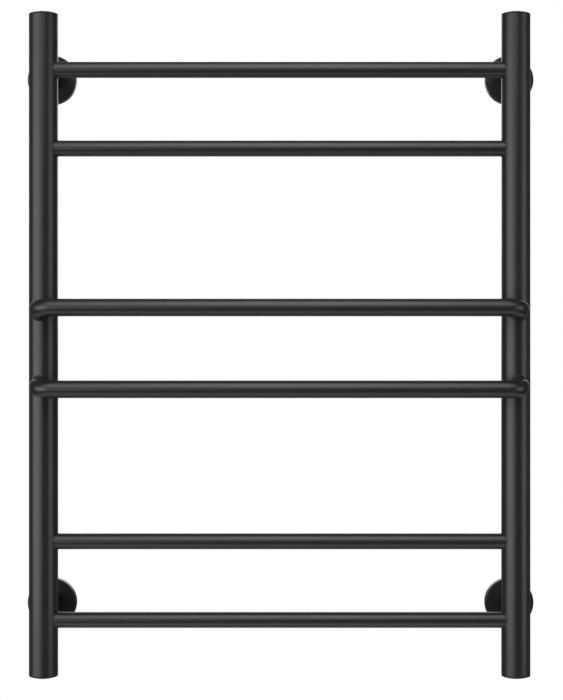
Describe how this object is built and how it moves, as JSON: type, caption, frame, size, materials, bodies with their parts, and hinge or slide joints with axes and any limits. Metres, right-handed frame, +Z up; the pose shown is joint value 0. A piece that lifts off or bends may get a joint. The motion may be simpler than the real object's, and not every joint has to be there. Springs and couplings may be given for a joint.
{
  "type": "towel warmer rack",
  "caption": "Wall-hung electric towel warmer: a ladder of satin black round tube with straight rungs between two uprights and two bars set forward.",
  "frame": {"origin": "on the wall, at the centre of the four wall plates", "axes": "+X to the right and +Z up as seen from the room, +Y into the wall"},
  "size_m": [0.542, 0.12, 0.692],
  "materials": {
    "black_powder_coat": "satin black powder coat",
    "black_rubber": "moulded",
    "zinc_plated_steel": "pressed, bright zinc",
    "turned_steel": "turned, bright zinc",
    "black_oxide_steel": "black oxide",
    "red_silicone": "extruded",
    "black_silicone": "extruded",
    "heat_shrink": "shrunk",
    "limiter_case": "moulded",
    "tinned_copper": "tinned",
    "white_nylon": "moulded",
    "green_pvc": "extruded",
    "brass": "turned"
  },
  "bodies": {
    "wall_fixings": {"top_left_wall_plate": "zinc_plated_steel", "top_left_spigot": "turned_steel", "top_right_wall_plate": "zinc_plated_steel", "top_right_spigot": "turned_steel", "bottom_left_wall_plate": "zinc_plated_steel", "bottom_left_spigot": "turned_steel", "bottom_right_wall_plate": "zinc_plated_steel", "bottom_right_spigot": "turned_steel"},
    "rack": {"left_upright": "black_powder_coat", "right_upright": "black_powder_coat", "top_rung": "black_powder_coat", "second_rung": "black_powder_coat", "fifth_rung": "black_powder_coat", "bottom_rung": "black_powder_coat", "upper_front_rail": "black_powder_coat", "lower_front_rail": "black_powder_coat", "top_left_cap": "black_powder_coat", "top_right_cap": "black_powder_coat", "bottom_left_cap": "black_powder_coat", "bottom_right_cap": "black_powder_coat", "top_left_post": "black_powder_coat", "top_right_post": "black_powder_coat", "bottom_left_post": "black_powder_coat", "bottom_right_post": "black_powder_coat", "cap_rings": "black_rubber", "grub_screws": "black_oxide_steel", "heating_cable": "red_silicone", "cable_end_seal": "heat_shrink", "thermal_limiter": "limiter_case", "joint_sleeve": "heat_shrink", "crimp_barrels": "tinned_copper", "cold_lead": "black_silicone", "supply_connector": "white_nylon", "earth_wire": "green_pvc", "earth_terminal": "tinned_copper", "earth_screw": "brass"},
    "top_left_cover": {"top_left_rosette": "black_powder_coat", "top_left_rosette_ring": "black_rubber"},
    "top_right_cover": {"top_right_rosette": "black_powder_coat", "top_right_rosette_ring": "black_rubber"},
    "bottom_left_cover": {"bottom_left_rosette": "black_powder_coat", "bottom_left_rosette_ring": "black_rubber"},
    "bottom_right_cover": {"bottom_right_rosette": "black_powder_coat", "bottom_right_rosette_ring": "black_rubber"}
  },
  "joints": [
    {"name": "rack_draw", "type": "slide", "parent": "wall_fixings", "child": "rack", "axis": [0, -1, 0], "range_m": [0, 0.03]},
    {"name": "top_left_cover_slide", "type": "slide", "parent": "rack", "child": "top_left_cover", "axis": [0, -1, 0], "range_m": [0, 0.044]},
    {"name": "top_right_cover_slide", "type": "slide", "parent": "rack", "child": "top_right_cover", "axis": [0, -1, 0], "range_m": [0, 0.044]},
    {"name": "bottom_left_cover_slide", "type": "slide", "parent": "rack", "child": "bottom_left_cover", "axis": [0, -1, 0], "range_m": [0, 0.044]},
    {"name": "bottom_right_cover_slide", "type": "slide", "parent": "rack", "child": "bottom_right_cover", "axis": [0, -1, 0], "range_m": [0, 0.044]}
  ]
}
